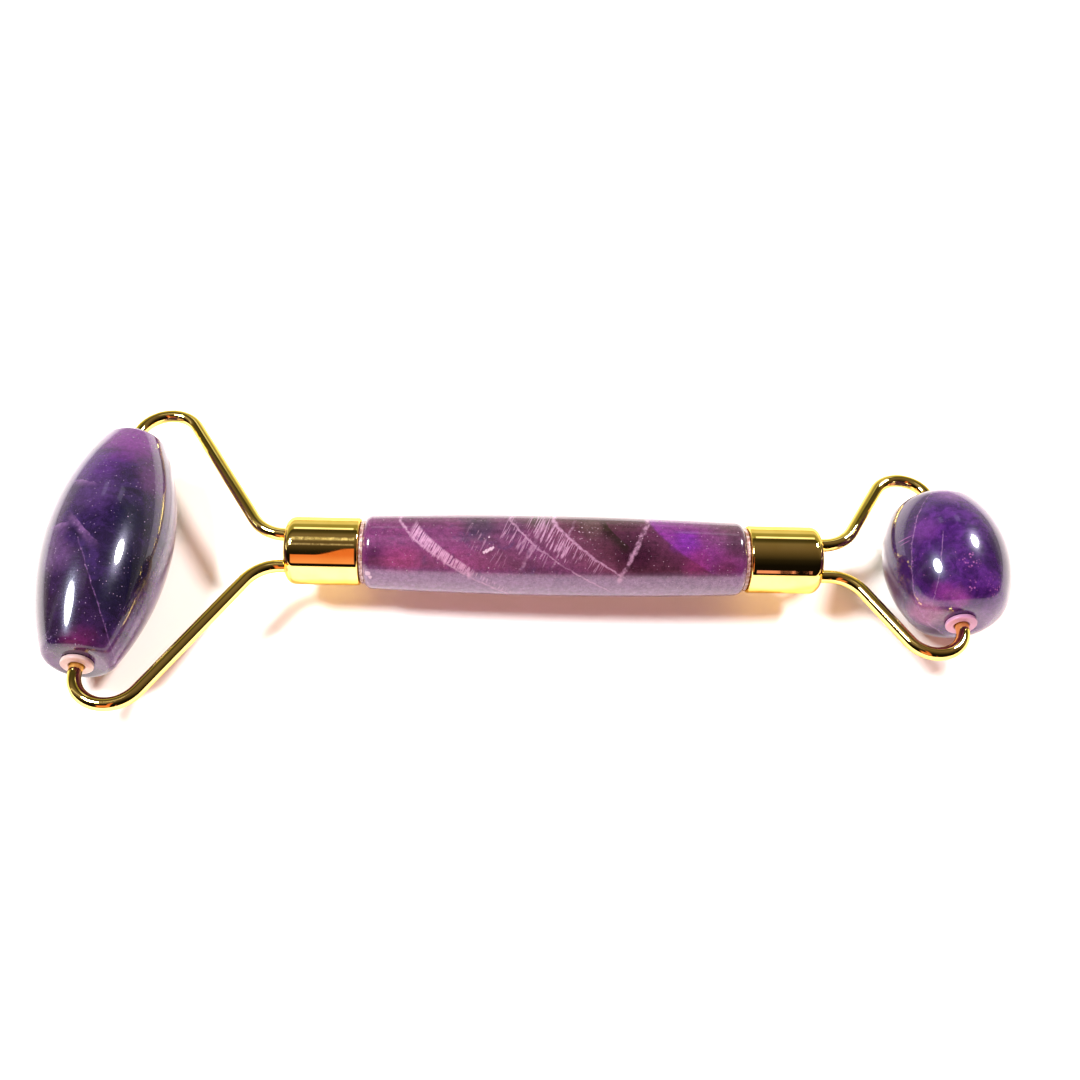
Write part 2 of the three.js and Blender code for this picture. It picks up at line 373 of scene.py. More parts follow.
def polished_quartz(g, point, body, cracks):
    """A clear wet-looking polish over the body colour, with fine pits and a dip at each crack."""
    cloud = g.noise(point, 2.4, 4.0, 0.6)
    scuffs = g.noise(g.vector("MULTIPLY", point, (0.5, 3.0, 3.0)), 1.1, 3.0, 0.6)
    pits = g.math("MULTIPLY", g.math("ADD", cloud, cracks), -1.0)
    shade(g, Base_Color=body, Roughness=g.smooth(scuffs, 0.3, 0.75, 0.2, 0.28), IOR=1.5,
          Specular_IOR_Level=0.2, Specular_Tint=(0.7, 0.75, 1.0, 1.0), Coat_Weight=0.8,
          Coat_Roughness=0.04, Coat_IOR=1.44, Normal=g.bump(pits, 0.00001, 0.35))


def painted_table_reflection(g, point, high, low, end):
    """How strongly the stone's lower flank is painted with the bright table's reflection: from 0 at
    the height high up to 0.8 at low, and falling to 0 again below end."""
    height = beyond(g, point, (0.0, 0.0, 1.0))
    return every(g, g.smooth(height, high, low, 0.0, 0.8), g.smooth(height, end - 2.5, end))


def grained(g, point, body, strength):
    """The fine salt-and-pepper grain of crushed inclusions that shows all through the stone."""
    fine = g.noise(point, 0.14, 3.0, 0.75)
    coarse = g.noise(point, 0.7, 3.0, 0.6)
    tone = every(g, g.smooth(fine, 0.25, 0.75, 1 - 0.24 * strength, 1 + 0.26 * strength),
                 g.smooth(coarse, 0.3, 0.7, 1 - 0.14 * strength, 1 + 0.14 * strength))
    return g.scale(body, tone)


def blotched(g, point, body, wander, patches):
    """The body colour with each patch laid over it: (middle, radius, colour, share)."""
    for spot, radius, tint, share in patches:
        cover = every(g, zone(g, point, spot, radius, wander), share)
        body = g.mix(cover, body, seen(*tint))
    return body


# The handle's growth zones follow one another along HANDLE_GROWTH, from HANDLE_START, and a few
# cracks lie across another direction.
HANDLE_GROWTH = (0.46, 0.34, 0.656)
HANDLE_START = -0.84
HANDLE_CROSS = (0.90, -0.35, -0.27)

# Each zone's place along the growth, and its colour.
GROWTH_ZONES = [
    (-15, (120, 62, 110)), (-11, (134, 60, 124)), (-7, (126, 66, 116)), (-4, (138, 70, 124)),
    (-1, (112, 64, 102)), (2, (118, 66, 108)), (5, (116, 66, 96)), (7, (86, 46, 66)),
    (10, (82, 42, 66)), (11.9, (92, 44, 78)), (12.1, (132, 54, 146)), (14.5, (126, 56, 128)),
    (17, (112, 72, 100)), (19, (98, 68, 90)),
]
HANDLE_PATCHES = [
    ((-27.0, -4.0, 4.2), 2.6, (80, 38, 78), 0.85),
    ((-23.3, -4.4, 4.0), 3.6, (156, 68, 124), 0.7),
    ((-20.5, 2.2, 5.9), 4.0, (94, 48, 88), 0.7),
    ((-18.0, -0.1, 6.0), 3.0, (118, 64, 110), 0.6),
    ((-11.5, 0.6, 6.1), 3.2, (74, 58, 84), 0.8),
    ((-6.5, 0.6, 6.1), 2.4, (92, 60, 92), 0.7),
    ((-2.6, 2.2, 5.8), 2.6, (88, 70, 80), 0.8),
    ((5.4, 0.8, 6.1), 2.2, (100, 74, 80), 0.7),
    ((11.8, -3.2, 5.1), 3.6, (54, 20, 44), 0.8),
    ((19.5, -1.0, 6.0), 2.6, (120, 42, 158), 0.85),
    ((21.3, -4.6, 3.8), 2.8, (140, 52, 112), 0.55),
    ((27.3, -1.5, 5.5), 2.4, (74, 40, 66), 0.8),
    ((25.6, -4.8, 2.9), 3.4, (108, 50, 90), 0.9),
]
# Healed cracks in the growth planes: offset, start and end along the cross direction, width,
# strength.
VEILS = [(-5.7, -27.0, -1.0, 0.20, 0.75), (2.3, -9.0, 9.0, 0.16, 0.7), (5.3, -7.0, 9.5, 0.20, 0.8)]
# Combs of short rungs beside the veils: top and lowest bottom, start and end, sparseness, strength.
COMBS = [
    (-4.5, -7.0, -20.5, -10.5, 0.40, 1.0), (-4.6, -6.4, -11.0, -4.0, 0.50, 0.6),
    (5.4, 1.2, -5.5, 1.5, 0.48, 0.8), (5.4, 2.4, 0.5, 6.5, 0.50, 0.6),
    (2.6, -0.8, -9.0, -1.5, 0.52, 0.55), (-0.5, -4.0, -13.0, -6.0, 0.55, 0.35),
]
# Cracks across the zones: offset, start and end along the growth, width, strength.
CROSS_CRACKS = [(10.2, 4.5, 12.5, 0.5, 0.75), (-3.8, -1.0, 5.5, 0.45, 0.45),
                (0.2, 1.5, 6.5, 0.3, 0.4)]
# A cloud of fine specks, and white flecks with a painted glint among them: middle and radius.
SPECK_CLOUD = ((4.6, 0.0, 6.2), 2.6)
HANDLE_FLECKS_AND_GLINT = [
    ((-10.8, -3.4, 5.1), 0.28), ((-10.45, -3.3, 5.25), 0.4), ((-10.1, -3.1, 5.35), 0.3),
    ((-9.75, -3.0, 5.4), 0.38), ((-9.45, -2.8, 5.5), 0.28), ((-10.1, -1.3, 6.1), 0.2),
    # The next two are a painted reflection glint, low on the front of the handle's left end.
    ((-28.3, -5.3, 1.8), 0.6), ((-27.9, -5.6, 1.2), 0.4),
]


def handle_body(g, p, depth, across):
    """The handle's colours, before its bright cracks."""
    wander = g.noise(p, 4.0, 4.0, 0.6)
    low, high = GROWTH_ZONES[0][0], GROWTH_ZONES[-1][0]
    place = g.math("DIVIDE", g.math("SUBTRACT", wobbled(g, depth, wander, 0.5), low), high - low)
    body = g.ramp(place, [((at - low) / (high - low), seen(*tint)) for at, tint in GROWTH_ZONES])
    wisps = g.noise(p, 1.6, 5.0, 0.65, 0.8)
    smoky = every(g, g.smooth(wisps, 0.5, 0.7, 0.0, 0.6), between(g, depth, -7.0, 1.0, 2.0))
    body = g.mix(smoky, body, seen(84, 62, 108))
    body = blotched(g, p, body, wander, HANDLE_PATCHES)
    layers = g.noise(g.vector("MULTIPLY", p, (0.15, 2.0, 2.0)), 1.2, 3.0, 0.6)
    body = g.scale(body, g.smooth(layers, 0.3, 0.7, 0.9, 1.1))
    dark_edge = every(g, g.smooth(depth, 7.4, 8.7), g.smooth(depth, 8.95, 8.8),
                      between(g, across, 4.8, 8.6, 1.2), 0.9)
    body = g.mix(dark_edge, body, seen(46, 30, 30))
    # Painted reflection of the bright table on the handle's lower flank, in pale mauve.
    body = g.mix(painted_table_reflection(g, p, 3.5, 1.7, -3.4), body, seen(158, 130, 172))
    return grained(g, p, body, 1.4)


def handle_cracks(g, p, depth, across):
    """How bright the handle's healed cracks are: seams, and combs of short rungs beside them."""
    patchy = g.noise(p, 0.9, 3.0, 0.7)
    drift = g.noise(p, 1.6, 3.0, 0.6)
    fine = g.noise(p, 0.5, 3.0, 0.65)
    comb_point = g.node("ShaderNodeCombineXYZ", X=every(g, depth, 0.35), Y=every(g, across, 3.4))
    rungs = g.noise(comb_point, 0.9, 2.0, 0.5, 0.2)
    reach = g.noise(g.node("ShaderNodeCombineXYZ", Y=across), 0.7, 2.0, 0.7)
    parts = []
    for offset, start, end, width, strength in VEILS:
        line = seam(g, wobbled(g, g.math("SUBTRACT", depth, offset), drift, 0.7), width)
        parts.append(every(g, line, g.smooth(patchy, 0.3, 0.6, 0.2, strength),
                           between(g, across, start, end, 2.0)))
    for top, bottom, start, end, sparse, strength in COMBS:
        lower = g.math("ADD", bottom, every(g, reach, (top - bottom) * 0.75))
        shelf = every(g, g.smooth(depth, lower, g.math("ADD", lower, 0.5)),
                      g.smooth(depth, top + 0.1, top - 0.2))
        parts.append(every(g, g.smooth(rungs, sparse, sparse + 0.1), shelf,
                           between(g, across, start, end, 1.0), strength))
    for offset, start, end, width, strength in CROSS_CRACKS:
        line = seam(g, wobbled(g, beyond(g, p, HANDLE_CROSS, offset), drift, 1.2), width)
        parts.append(every(g, line, g.smooth(patchy, 0.38, 0.62, 0.1, strength),
                           between(g, depth, start, end, 0.6)))
    return every(g, any_of(g, *parts), g.smooth(fine, 0.25, 0.6, 0.55, 1.0))


def handle_amethyst():
    made, g = new_material("handle_amethyst")
    p = g.millimetres(GRIP)
    depth = g.math("SUBTRACT", g.vector("DOT_PRODUCT", p, HANDLE_GROWTH), HANDLE_START)
    across = beyond(g, p, HANDLE_CROSS)
    cracks = handle_cracks(g, p, depth, across)
    body = g.mix(cracks, handle_body(g, p, depth, across), seen(220, 172, 212))
    ragged = g.noise(p, 0.25, 2.0)
    flecks_and_glint = [zone(g, p, spot, radius, ragged, 0.4) for spot, radius in HANDLE_FLECKS_AND_GLINT]
    cloud = every(g, specks(g, p, 0.4, 0.14, 0.6), zone(g, p, *SPECK_CLOUD, ragged))
    dots = any_of(g, specks(g, p, 1.0, 0.11, 0.4), specks(g, p, 0.45, 0.075, 0.4), cloud, *flecks_and_glint)
    # Pale lavender for the specks and flecks, and for the painted glint at the left end.
    body = g.mix(every(g, dots, 0.95), body, seen(236, 206, 232))
    polished_quartz(g, p, body, cracks)
    return made


LARGE_PATCHES_AND_GLOW = [
    ((-2.0, 9.5, 8.0), 6.0, (88, 42, 128), 0.8),
    ((-1.0, 3.0, 8.8), 5.0, (80, 52, 112), 0.7),
    ((-4.8, -3.8, 7.8), 3.2, (92, 56, 118), 0.7),
    ((-4.4, -7.5, 7.8), 3.4, (104, 74, 126), 0.85),
    ((-6.5, 1.5, 7.0), 3.4, (104, 78, 124), 0.7),
    ((-6.5, -14.0, 4.5), 4.4, (60, 34, 70), 0.6),
    ((5.0, -0.5, 7.6), 4.0, (16, 12, 50), 0.85),
    ((7.5, -7.5, 4.8), 6.5, (14, 10, 44), 0.9),
    ((4.4, -13.0, 6.0), 4.0, (18, 12, 46), 0.8),
    ((2.0, 17.0, 6.0), 6.8, (122, 46, 142), 0.95),
    ((7.2, 9.0, 5.2), 4.2, (92, 40, 112), 0.8),
    # Painted glow: magenta just above the front bush, standing in for light coming through the
    # stone.
    ((1.1, -20.2, 4.6), 2.8, (110, 38, 98), 0.7),
    ((5.0, -20.6, 0.0), 4.0, (112, 62, 132), 0.85),
    ((-5.0, -20.6, 0.0), 4.0, (110, 64, 112), 0.8),
]
# Cloudy veils in the large stone: the plane's normal and offset, and the middle and radius of the
# part that shows.
LARGE_VEILS = [
    ((0.75, 0.62, 0.2), -0.6, (-1.7, -3.8, 9.2), 4.2),
    ((-0.1, 0.95, 0.3), 1.05, (-4.6, -1.6, 8.2), 2.6),
    ((0.35, 0.9, 0.1), 5.2, (-2.6, 6.4, 8.8), 2.8),
]


def large_amethyst():
    made, g = new_material("large_roller_amethyst")
    p = g.millimetres(AXLE["large"])
    wander = g.noise(p, 4.0, 4.0, 0.6)
    wisps = g.noise(p, 2.4, 5.0, 0.62, 0.8)
    patchy = g.noise(p, 0.8, 3.0, 0.7)
    drift = g.noise(p, 2.6, 3.0, 0.6)

    # A fault runs along the front half, with plum-coloured stone to its left.
    fault = beyond(g, p, (0.90, 0.42, -0.08), -3.8)
    front = g.smooth(beyond(g, p, (0.0, 1.0, 0.0)), -4.0, -7.5)
    body = g.mix(g.smooth(wisps, 0.35, 0.7), seen(34, 22, 58), seen(60, 38, 96))
    body = g.mix(every(g, g.smooth(fault, 0.15, -0.25, 0.0, 0.55), front), body, seen(44, 18, 50))
    body = blotched(g, p, body, wander, LARGE_PATCHES_AND_GLOW)
    # Painted reflection of the bright table on the large stone's lower flank, broken up by the
    # wisps.
    reflected_table = every(g, painted_table_reflection(g, p, 4.8, 0.2, -0.6), g.smooth(wisps, 0.35, 0.65, 0.3, 1.0))
    body = g.mix(reflected_table, body, seen(112, 66, 140))
    body = grained(g, p, body, 1.3)

    cracks = every(g, seam(g, wobbled(g, fault, drift, 0.8), 0.13), front,
                   g.smooth(patchy, 0.4, 0.62, 0.1, 0.6))
    for normal, offset, spot, radius in LARGE_VEILS:
        rim = wobbled(g, beyond(g, p, normal, offset), drift, 1.6)
        veil = every(g, g.smooth(rim, -1.6, -0.05), g.smooth(rim, 0.1, 0.0),
                     zone(g, p, spot, radius, wander), g.smooth(patchy, 0.3, 0.65, 0.25, 0.7))
        cracks = any_of(g, cracks, veil)
    body = g.mix(cracks, body, seen(150, 108, 172))
    cluster = zone(g, p, (-3.1, -20.1, 3.8), 2.2, wander)
    dots = any_of(g, specks(g, p, 1.0, 0.13, 0.35), specks(g, p, 0.45, 0.09, 0.4),
                  every(g, specks(g, p, 0.36, 0.12, 0.8), cluster))
    body = g.mix(every(g, dots, 0.9), body, seen(206, 180, 224))
    polished_quartz(g, p, body, cracks)
    return made


SMALL_PATCHES = [
    ((5.5, -3.0, 7.5), 5.5, (44, 18, 76), 0.85),
    ((8.5, 2.0, 4.5), 5.0, (66, 30, 96), 0.7),
    ((7.6, -5.0, 4.8), 3.6, (42, 16, 70), 0.8),
    ((-5.8, -6.5, 6.4), 3.2, (46, 20, 68), 0.8),
    ((-5.6, 0.5, 7.6), 2.8, (118, 58, 152), 0.7),
    ((-4.2, -9.6, 5.8), 2.2, (140, 60, 156), 0.85),
    ((3.5, -10.9, 1.6), 4.0, (124, 84, 164), 0.8),
    ((-5.4, -10.6, 1.0), 3.8, (184, 124, 178), 0.85),
    ((-1.7, -10.4, 5.1), 2.0, (158, 76, 172), 0.9),
    ((0.0, 7.8, 7.2), 3.2, (146, 96, 170), 0.6),
]
# Clusters of pink inclusions near the small stone's front: middle and radius.
PINK_CLUSTERS = [((-0.2, -5.3, 8.7), 1.9), ((3.6, -8.8, 6.3), 2.2), ((0.1, -9.1, 7.0), 1.2)]


def small_amethyst():
    made, g = new_material("small_roller_amethyst")
    p = g.millimetres(AXLE["small"])
    wander = g.noise(p, 3.4, 4.0, 0.6)
    wisps = g.noise(p, 1.8, 5.0, 0.62, 0.8)
    patchy = g.noise(p, 0.7, 3.0, 0.7)
    drift = g.noise(p, 2.2, 3.0, 0.6)

    # A beaded wall parts the violet stone from a smoky panel on its left.
    wall = wobbled(g, beyond(g, p, (0.60, -0.35, 0.72), 0.4), drift, 0.8)
    body = g.mix(g.smooth(wisps, 0.35, 0.7), seen(62, 26, 100), seen(94, 44, 138))
    body = g.mix(g.smooth(wall, 0.2, -0.25, 0.0, 0.85), body, seen(60, 26, 92))
    body = blotched(g, p, body, wander, SMALL_PATCHES)
    # Painted reflection of the bright table on the small stone's lower flank, toward its +X side.
    reflected_table = every(g, painted_table_reflection(g, p, 4.0, -0.5, -1.5), g.smooth(wisps, 0.35, 0.65, 0.3, 1.0),
                  g.smooth(beyond(g, p, (1.0, 0.0, 0.0)), -2.0, 3.0))
    body = g.mix(reflected_table, body, seen(124, 74, 152))
    body = grained(g, p, body, 1.2)

    hair = wobbled(g, beyond(g, p, (0.98, -0.20, 0.0), -3.0), drift, 0.8)
    hair_part = between(g, beyond(g, p, (0.0, 1.0, 0.0)), -9.5, -1.0, 1.0)
    cracks = any_of(g, every(g, seam(g, wall, 0.14), g.smooth(patchy, 0.4, 0.62, 0.1, 0.6)),
                    every(g, seam(g, hair, 0.11), g.smooth(patchy, 0.35, 0.6, 0.1, 0.5), hair_part))
    body = g.mix(cracks, body, seen(190, 146, 206))

    scratched = zone(g, p, (-7.8, 1.0, 5.2), 1.6, wander)
    scratches = [every(g, seam(g, beyond(g, p, (0.0, 1.0, 0.1), offset), 0.1), scratched)
                 for offset in (0.4, 1.1)]
    pink = [every(g, specks(g, p, 0.42, 0.2, 0.6), zone(g, p, spot, radius, wander))
            for spot, radius in PINK_CLUSTERS]
    beads = every(g, specks(g, p, 0.35, 0.14, 0.7), seam(g, wall, 0.45))
    dots = any_of(g, specks(g, p, 1.0, 0.11, 0.3), specks(g, p, 0.5, 0.07, 0.3), beads,
                  *scratches, *pink)
    body = g.mix(every(g, dots, 0.8), body, seen(206, 122, 206))
    polished_quartz(g, p, body, cracks)
    return made


# ---- Metal, nylon, glue and the table ------------------------------------------------------------

def gold(name, stretch):
    """Polished gold plate with fine marks drawn out across the stretch, and slight smears."""
    made, g = new_material(name)
    p = g.millimetres((0, 0, 0))
    marks = g.noise(g.vector("MULTIPLY", p, stretch), 0.5, 3.0, 0.7)
    smears = g.noise(p, 3.0, 3.0, 0.6)
    body = g.mix(g.smooth(smears, 0.35, 0.7), colour(255, 225, 134), colour(250, 218, 124))
    roughness = g.math("ADD", g.smooth(marks, 0.3, 0.7, 0.01, 0.03),
                       g.smooth(smears, 0.5, 0.75, 0.0, 0.03))
    shade(g, Base_Color=body, Metallic=1.0, Roughness=roughness,
          Specular_Tint=(0.82, 0.66, 0.34, 1.0), Normal=g.bump(marks, 0.000001, 0.08))
    return made


def steel():
    made, g = new_material("peg_steel")
    p = g.millimetres((0, 0, 0))
    lines = g.noise(g.vector("MULTIPLY", p, (8.0, 1.0, 1.0)), 0.6, 3.0, 0.6)
    body = g.mix(lines, colour(150, 150, 154), colour(186, 186, 190))
    shade(g, Base_Color=body, Metallic=1.0, Roughness=g.smooth(lines, 0.3, 0.7, 0.25, 0.42),
          Normal=g.bump(lines, 0.00002, 0.4))
    return made


def cured_glue():
    made, g = new_material("cured_glue")
    p = g.millimetres((0, 0, 0))
    lumps = g.noise(p, 0.55, 3.0, 0.6)
    spots = g.noise(p, 0.8, 2.0, 0.6)
    body = g.mix(g.smooth(lumps, 0.35, 0.7), seen(186, 132, 128), seen(248, 226, 222))
    body = g.mix(g.smooth(spots, 0.56, 0.64, 0.0, 0.8), body, seen(170, 120, 72))
    body = g.mix(g.smooth(spots, 0.40, 0.33, 0.0, 0.8), body, seen(84, 54, 50))
    shade(g, Base_Color=body, Roughness=g.smooth(lumps, 0.3, 0.7, 0.12, 0.3), IOR=1.52,
          Normal=g.bump(lumps, 0.00008, 0.6))
    return made


def nylon():
    made, g = new_material("bush_plastic")
    p = g.millimetres((0, 0, 0))
    mould = g.noise(p, 0.4, 3.0, 0.6)
    stain = g.noise(p, 1.6, 2.0)
    body = g.mix(g.smooth(stain, 0.35, 0.7), colour(186, 166, 162), colour(176, 148, 150))
    # Painted mauve light from the purple stone on the small roller's bushes, toward +X.
    painted_stone_light = g.smooth(g.vector("DOT_PRODUCT", p, (1.0, 0.0, 0.0)), -10.0, 10.0)
    body = g.mix(painted_stone_light, body, colour(178, 134, 168))
    shade(g, Base_Color=body, Roughness=g.smooth(mould, 0.3, 0.7, 0.28, 0.42), IOR=1.5,
          Normal=g.bump(mould, 0.00002, 0.4))
    return made


def table_top():
    made, g = new_material("table_top")
    p = g.millimetres((0, 0, 0))
    tone = g.noise(p, 120.0, 2.0)
    body = g.mix(tone, colour(246, 245, 244), colour(250, 249, 248))
    shade(g, Base_Color=body, Roughness=0.6, Specular_IOR_Level=0.0)
    return made


MATERIALS = {
    "handle_amethyst": handle_amethyst(),
    "large_roller_amethyst": large_amethyst(),
    "small_roller_amethyst": small_amethyst(),
    "ferrule_gold": gold("ferrule_gold", (2.6, 0.15, 0.15)),
    "wire_gold": gold("wire_gold", (1.0, 1.0, 3.0)),
    "peg_steel": steel(),
    "cured_glue": cured_glue(),
    "bush_plastic": nylon(),
}


def install(piece, body, node, slot):
    """Puts the slot's material on the piece, which then stands for the CAD node on that body."""
    piece.data.materials.append(MATERIALS[slot])
    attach(piece, body)
    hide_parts(node)
    return piece


# ---- Rollers -------------------------------------------------------------------------------------

def barrel_outline(stone):
    """A crowned barrel with rounded corners, flat end faces and a bore with a broken edge."""
    half, face, corner = stone["half"], stone["face"], stone["corner"]
    corner_at = half - corner
    drop = ROLLER_RADIUS - face
    crown = (corner_at**2 + drop**2 - corner**2) / (2 * (drop - corner))
    crown_centre = ROLLER_RADIUS - crown
    meet = math.atan2(corner_at, face - crown_centre)
    side = arc(crown_centre, 0, crown, 0, meet, CROWN_STEPS)
    side += arc(face, corner_at, corner, meet, math.pi / 2, CORNER_STEPS)[1:]
    side += [(BORE_RADIUS + BORE_EDGE, half), (BORE_RADIUS, half - BORE_EDGE), (BORE_RADIUS, 0)]
    return spread(mirrored(side)[1:-1], LONGEST["roller"])


def make_roller(size):
    stone = ROLLERS[size]
    piece = turned(f"{size}_stone_polished", barrel_outline(stone), "Y", AXLE[size],
                   **STONE_RIPPLE)
    install(piece, f"{size}_roller", f"{size}_roller_stone", f"{size}_roller_amethyst")
    for place, way in (("front", -1), ("back", 1)):
        piece = turned(f"{size}_bush_{place}_moulded", bush_outline(stone["half"], way), "Y",
                       AXLE[size], sides=SMALL_ROUND)
        install(piece, f"{size}_roller", f"{size}_bush_{place}", "bush_plastic")


def bush_outline(half, way):
    """A flanged bush whose flange edge and hub edge are rounded, as moulding leaves them."""
    sleeve_end = half - BUSH["sleeve_length"]
    base = half + BUSH["seat"]
    top = base + BUSH["thickness"]
    hub_top = top + BUSH["hub_height"]
    rim, soft = BUSH["rim_round"], BUSH["hub_round"]
    points = [(BUSH["bore"], sleeve_end), (BUSH["sleeve"], sleeve_end), (BUSH["sleeve"], base),
              (BUSH["flange"] - BUSH["flange_edge"], base)]
    points += arc(BUSH["flange"] - rim, top - rim, rim, 0, math.pi / 2, 5)
    points += [(BUSH["hub"] + soft, top)]
    points += arc(BUSH["hub"] - soft, hub_top - soft, soft, 0, math.pi / 2, 3)
    points += [(BUSH["bore"] + BUSH["bore_edge"], hub_top),
               (BUSH["bore"], hub_top - BUSH["bore_edge"])]
    return [(r, way * a) for r, a in spread(points, LONGEST["small"])]


# ---- Wire arms -----------------------------------------------------------------------------------

def arm_line(size, way, side):
    """The centreline of one arm as (x, y, heading): tail in the cap, flare away from the handle,
    straight run, hook round the roller's end, and the pin that turns back along the axle."""
    stone = ROLLERS[size]
    reach = abs(AXLE[size].x - GRIP.x)
    flare, turn = WIRE["flare"], stone["turn"]
    flare_x = CAP["face"] + stone["lead"]
    flare_centre = (flare_x, WIRE["offset"] + flare)
    turn_centre = (reach - turn, stone["half"] + stone["stand_off"])
    dx, dy = turn_centre[0] - flare_centre[0], turn_centre[1] - flare_centre[1]
    heading = math.atan2(dy, dx) + math.asin((flare + turn) / math.hypot(dx, dy))

    tail = [(CAP["face"] - WIRE["tail"], WIRE["offset"], 0.0)]
    bend = []
    for i in range(FLARE_STEPS + 1):
        h = heading * i / FLARE_STEPS
        bend.append((flare_centre[0] + flare * math.sin(h),
                     flare_centre[1] - flare * math.cos(h), h))
    hook = []
    for i in range(HOOK_STEPS + 1):
        h = heading - (heading + math.pi / 2) * i / HOOK_STEPS
        hook.append((turn_centre[0] - turn * math.sin(h),
                     turn_centre[1] + turn * math.cos(h), h))
    x0, y0 = bend[-1][:2]
    x1, y1 = hook[0][:2]
    run = [(x0 + (x1 - x0) * i / RUN_STEPS, y0 + (y1 - y0) * i / RUN_STEPS, heading)
           for i in range(1, RUN_STEPS)]
    pin = [(reach, stone["half"] - WIRE["grip"], -math.pi / 2)]
    return [(GRIP.x + way * x, side * y, math.atan2(side * math.sin(h), way * math.cos(h)))
            for x, y, h in tail + bend + run + hook + pin]


# ---- Handle --------------------------------------------------------------------------------------

def handle_outline():
    """A slightly swollen rod with rounded ends and a blind hole in each."""
    half, end, corner = HANDLE["half"], HANDLE["end"], HANDLE["corner"]
    corner_at = half - corner
    swell = HANDLE["middle"] - end
    crown = (corner_at**2 + swell**2) / (2 * swell)
    tip = math.asin(corner_at / crown)
    floor = half - HANDLE["hole_depth"]
    side = arc(HANDLE["middle"] - crown, 0, crown, 0, tip, CROWN_STEPS)
    side += arc(end - corner, corner_at, corner, 0, math.pi / 2, CORNER_STEPS)[1:]
    side += [(HANDLE["hole"], half), (HANDLE["hole"], floor), (0, floor)]
    return spread(mirrored(side[1:]), LONGEST["handle"])


def cap_outline(way):
    """A turned cap, cupped towards the stone, with the peg's hole in the floor of the cup."""
    rim, face, radius = CAP["rim"], CAP["face"], CAP["radius"]
    floor = rim + CAP["cup_depth"]
    edge, corner = CAP["rim_corner"], CAP["face_corner"]
    points = [(0, floor + CAP["peg_depth"]), (CAP["peg_hole"], floor + CAP["peg_depth"]),
              (CAP["peg_hole"], floor), (CAP["cup"], floor),
              (CAP["cup"], rim + CAP["cup_edge"]), (CAP["cup"] + CAP["cup_edge"], rim)]
    points += arc(radius - edge, rim + edge, edge, -math.pi / 2, 0, 5)
    points += arc(radius - corner, face - corner, corner, 0, math.pi / 2, 14)
    points += [(0, face)]
    return [(r, way * a) for r, a in spread(points, LONGEST["cap"])]


def drill(piece, centres, radius, depth_from, depth_to, way):
    """Cuts round holes along X through the closed end of a cap, one at each y in centres."""
    for y in centres:
        outline = [(0, way * depth_from), (radius, way * depth_from), (radius, way * depth_to),
                   (0, way * depth_to)]
        cutter = turned("cutter", outline, "X", Vector((GRIP.x, y, GRIP.z)), sides=HIDDEN_ROUND)
        cut = piece.modifiers.new("hole", "BOOLEAN")
        cut.operation = "DIFFERENCE"
        cut.solver = "EXACT"
        cut.object = cutter
        bpy.context.view_layer.update()
        depsgraph = bpy.context.evaluated_depsgraph_get()
        result = bpy.data.meshes.new_from_object(piece.evaluated_get(depsgraph))
        piece.modifiers.remove(cut)
        piece.data = result
        bpy.data.objects.remove(cutter)
    piece.data.set_sharp_from_angle(angle=SHARP_ANGLE)


def peg_outline(way):
    """A peg with ridges for the glue to hold, from deep in the stone into the cap."""
    start = HANDLE["half"] - PEG["in_stone"]
    end = CAP["rim"] + CAP["cup_depth"] + PEG["in_cap"]
    count = math.floor((end - start) / PEG["pitch"])
    pitch = (end - start) / count
    root = PEG["radius"] - PEG["groove"]
    points = [(0, start), (root, start)]
    for i in range(count):
        ridge = start + (i + 0.5) * pitch
        points += [(PEG["radius"], ridge - PEG["crest"] / 2),
                   (PEG["radius"], ridge + PEG["crest"] / 2), (root, ridge + pitch / 2)]
    points.append((0, end))
    return [(r, way * a) for r, a in points]


def glue_outline(way):
    """The plug in the cup, and the bead that was squeezed out into the corner beside the rim."""
    gap, bead = GLUE["gap"], GLUE["bead"]
    inner = PEG["radius"] + GLUE["plug_gap"]
    outer = CAP["cup"] - GLUE["plug_gap"]
    rim_side = CAP["rim"] - gap
    floor = CAP["rim"] + CAP["cup_depth"] - GLUE["plug_gap"]
    points = [(inner, HANDLE["half"] + gap)]
    points += arc(HANDLE["end"] - HANDLE["corner"], HANDLE["half"] - HANDLE["corner"],
                  HANDLE["corner"] + gap, math.pi / 2, math.radians(60), 8)
    points += arc(GLUE["bead_at"], rim_side - GLUE["bead_back"], bead, math.radians(-40),
                  math.radians(80), 7)
    points += [(outer + bead, rim_side), (outer, rim_side + bead), (outer, floor), (inner, floor)]
    return [(r, way * a) for r, a in spread(points, LONGEST["small"])]


